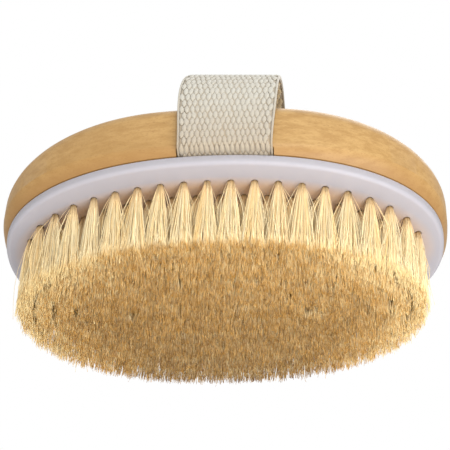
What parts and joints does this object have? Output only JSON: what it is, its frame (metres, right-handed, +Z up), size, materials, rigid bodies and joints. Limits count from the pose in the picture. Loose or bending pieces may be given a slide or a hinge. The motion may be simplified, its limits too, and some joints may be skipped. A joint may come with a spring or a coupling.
{
  "type": "body dry brush",
  "caption": "Oval body dry brush: domed wooden back, milky bristle plate with rings of natural bristle tufts, and a woven webbing hand strap.",
  "frame": {"origin": "bottom centre: the middle of the bristle field, on the plane of the bristle tips", "axes": "+X along the brush's length, +Y across it, +Z up from the bristle tips to the wooden back and the strap"},
  "size_m": [0.1326, 0.0796, 0.0809],
  "materials": {
    "wood": "satin oiled honey-coloured wood",
    "plate": "milky translucent, satin gloss",
    "webbing": "natural cotton webbing, matt",
    "bristle": "natural bristle, cream shafts and golden brown tips",
    "steel": "drawn wire, dull bright"
  },
  "bodies": {
    "root": {"wood_back": "wood", "bristle_plate": "plate", "hand_strap": "webbing", "tuft_ring_1": "bristle", "tuft_ring_2": "bristle", "tuft_ring_3": "bristle", "tuft_ring_4": "bristle", "tuft_ring_5": "bristle", "tuft_row_middle": "bristle", "draw_wire_1": "steel", "draw_wire_2": "steel", "draw_wire_3": "steel", "draw_wire_4": "steel", "draw_wire_5": "steel", "draw_wire_middle": "steel", "staple_front_left": "steel", "staple_front_right": "steel", "staple_rear_left": "steel", "staple_rear_right": "steel"}
  },
  "joints": []
}
